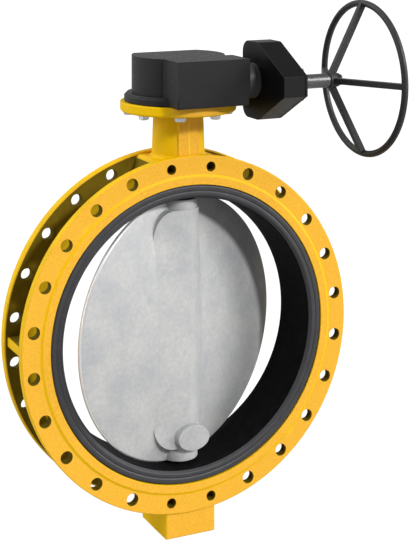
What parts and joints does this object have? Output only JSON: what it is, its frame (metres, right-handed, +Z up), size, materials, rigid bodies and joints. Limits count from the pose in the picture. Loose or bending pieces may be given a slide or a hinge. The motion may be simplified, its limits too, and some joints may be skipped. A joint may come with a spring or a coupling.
{
  "type": "butterfly valve",
  "caption": "Double-flanged butterfly valve with rubber-lined round body, swinging disc, worm gearbox on the neck, offset spur-gear input and side handwheel.",
  "frame": {"origin": "centre of the foot's underside, on the stem axis; the pipe axis is 0.508 m above it", "axes": "+Z up along the stem axis; the pipe axis is parallel to Y, with the front flange towards -Y; +X points from the stem towards the handwheel"},
  "size_m": [0.895, 0.5535, 1.3425],
  "materials": {
    "yellow_coating": "satin",
    "black_paint": "satin",
    "black_rubber": "matte",
    "coated_cast_disc": "satin",
    "machined_steel": "satin",
    "zinc_plated_steel": "satin",
    "bronze": "satin"
  },
  "bodies": {
    "valve_body": {"body": "yellow_coating", "seat_liner": "black_rubber", "neck_bush_lower": "bronze", "neck_bush_upper": "bronze", "stem_seal_lower": "black_rubber", "stem_seal_upper": "black_rubber", "trunnion_bush": "bronze", "trunnion_seal": "black_rubber", "bottom_cover": "yellow_coating", "cover_screw_1": "zinc_plated_steel", "cover_screw_2": "zinc_plated_steel", "cover_screw_3": "zinc_plated_steel", "cover_screw_4": "zinc_plated_steel", "flange_bolt_1": "zinc_plated_steel", "flange_bolt_2": "zinc_plated_steel", "flange_bolt_3": "zinc_plated_steel", "flange_bolt_4": "zinc_plated_steel", "flange_bolt_5": "zinc_plated_steel", "flange_bolt_6": "zinc_plated_steel", "flange_bolt_7": "zinc_plated_steel", "flange_bolt_8": "zinc_plated_steel", "gearbox_base": "black_paint", "gearbox_housing": "black_paint", "wheel_bush_lower": "bronze", "wheel_bush_upper": "bronze", "worm_bearing_inner": "machined_steel", "worm_bearing_outer": "machined_steel", "worm_bearing_retainer": "machined_steel", "closed_stop_screw": "zinc_plated_steel", "closed_stop_nut": "zinc_plated_steel", "open_stop_screw": "zinc_plated_steel", "open_stop_nut": "zinc_plated_steel", "input_sleeve": "black_paint", "gear_case": "black_paint", "gear_case_cover": "black_paint", "input_bearing_inner": "machined_steel", "input_bearing_outer": "machined_steel", "input_seal": "black_rubber", "case_screw_1": "zinc_plated_steel", "case_screw_2": "zinc_plated_steel", "case_screw_3": "zinc_plated_steel", "case_screw_4": "zinc_plated_steel"},
    "disc_assembly": {"disc": "coated_cast_disc", "upper_stem": "machined_steel", "disc_key": "machined_steel", "trunnion": "machined_steel", "trunnion_pin": "machined_steel", "worm_wheel": "bronze", "wheel_key": "machined_steel"},
    "worm_assembly": {"worm_shaft": "machined_steel", "driven_gear": "machined_steel", "driven_gear_key": "machined_steel", "worm_shaft_nut": "machined_steel"},
    "handwheel_assembly": {"input_shaft": "machined_steel", "pinion": "machined_steel", "pinion_key": "machined_steel", "handwheel": "black_paint", "handwheel_key": "machined_steel", "handwheel_nut": "zinc_plated_steel"}
  },
  "joints": [
    {"name": "handwheel_turn", "type": "hinge", "parent": "valve_body", "child": "handwheel_assembly", "pos_m": [0, -0.204, 1.142], "axis": [1, 0, 0], "range_deg": [-1090.4, 3816.5]},
    {"name": "worm_turn", "type": "hinge", "parent": "valve_body", "child": "worm_assembly", "pos_m": [0, -0.12, 1.142], "axis": [1, 0, 0], "range_deg": [-2660, 760]},
    {"name": "disc_turn", "type": "hinge", "parent": "valve_body", "child": "disc_assembly", "pos_m": [0, 0, 0.508], "axis": [0, 0, 1], "range_deg": [-20, 70]}
  ],
  "couplings": [
    {"joint": "worm_turn", "follows": "handwheel_turn", "ratio": -0.69697},
    {"joint": "disc_turn", "follows": "handwheel_turn", "ratio": 0.018341}
  ]
}
